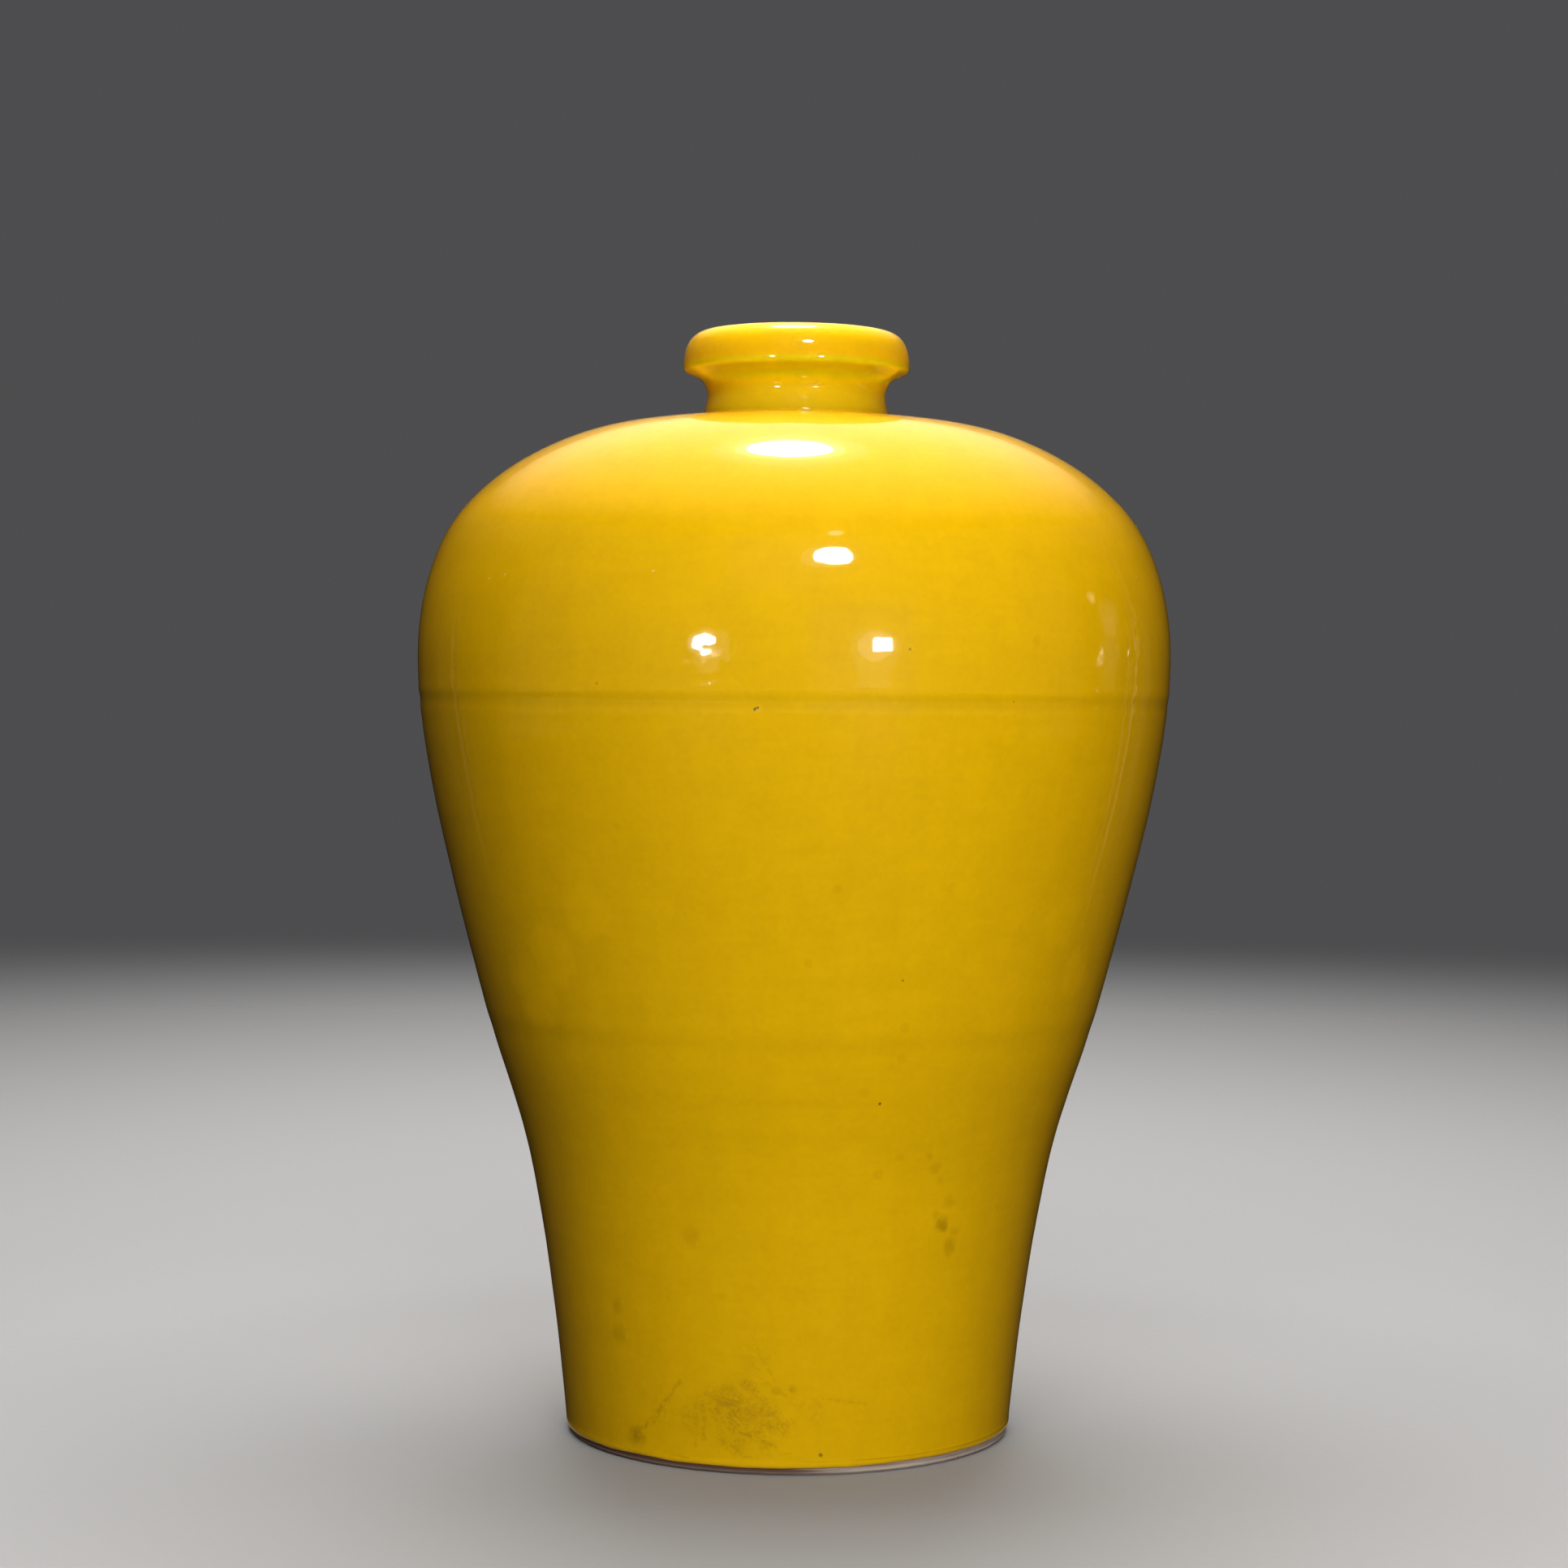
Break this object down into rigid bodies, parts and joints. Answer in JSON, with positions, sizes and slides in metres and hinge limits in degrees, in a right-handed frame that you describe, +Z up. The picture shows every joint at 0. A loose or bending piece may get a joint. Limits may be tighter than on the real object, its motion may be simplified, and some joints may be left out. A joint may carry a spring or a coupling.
{
  "type": "meiping vase",
  "caption": "Tall, high-shouldered glazed vase with a short narrow neck and a rolled lip, tapering to a bare foot ring; holds water and a flowering branch.",
  "frame": {"origin": "centre of the foot ring's resting plane, on the vase's axis", "axes": "+Z up along the axis that the vase is thrown about; the vase is round, so X and Y have no front"},
  "size_m": [0.2258, 0.2258, 0.3304],
  "materials": {
    "bare_clay": "unglazed fired clay, toasted grey-brown where it is bare",
    "body_clay": "fired off-white clay, hidden under the glaze",
    "luting_slip": "fired slip",
    "yellow_glaze": "glossy egg-yolk yellow glaze",
    "clear_glaze": "thin clear glaze over off-white clay"
  },
  "bodies": {
    "root": {"foot_section": "bare_clay", "lower_luting_slip": "luting_slip", "lower_body": "body_clay", "belly_luting_slip": "luting_slip", "upper_body": "body_clay", "neck_luting_slip": "luting_slip", "neck_and_mouth": "body_clay", "outer_glaze": "yellow_glaze", "inner_glaze": "clear_glaze"}
  },
  "joints": []
}
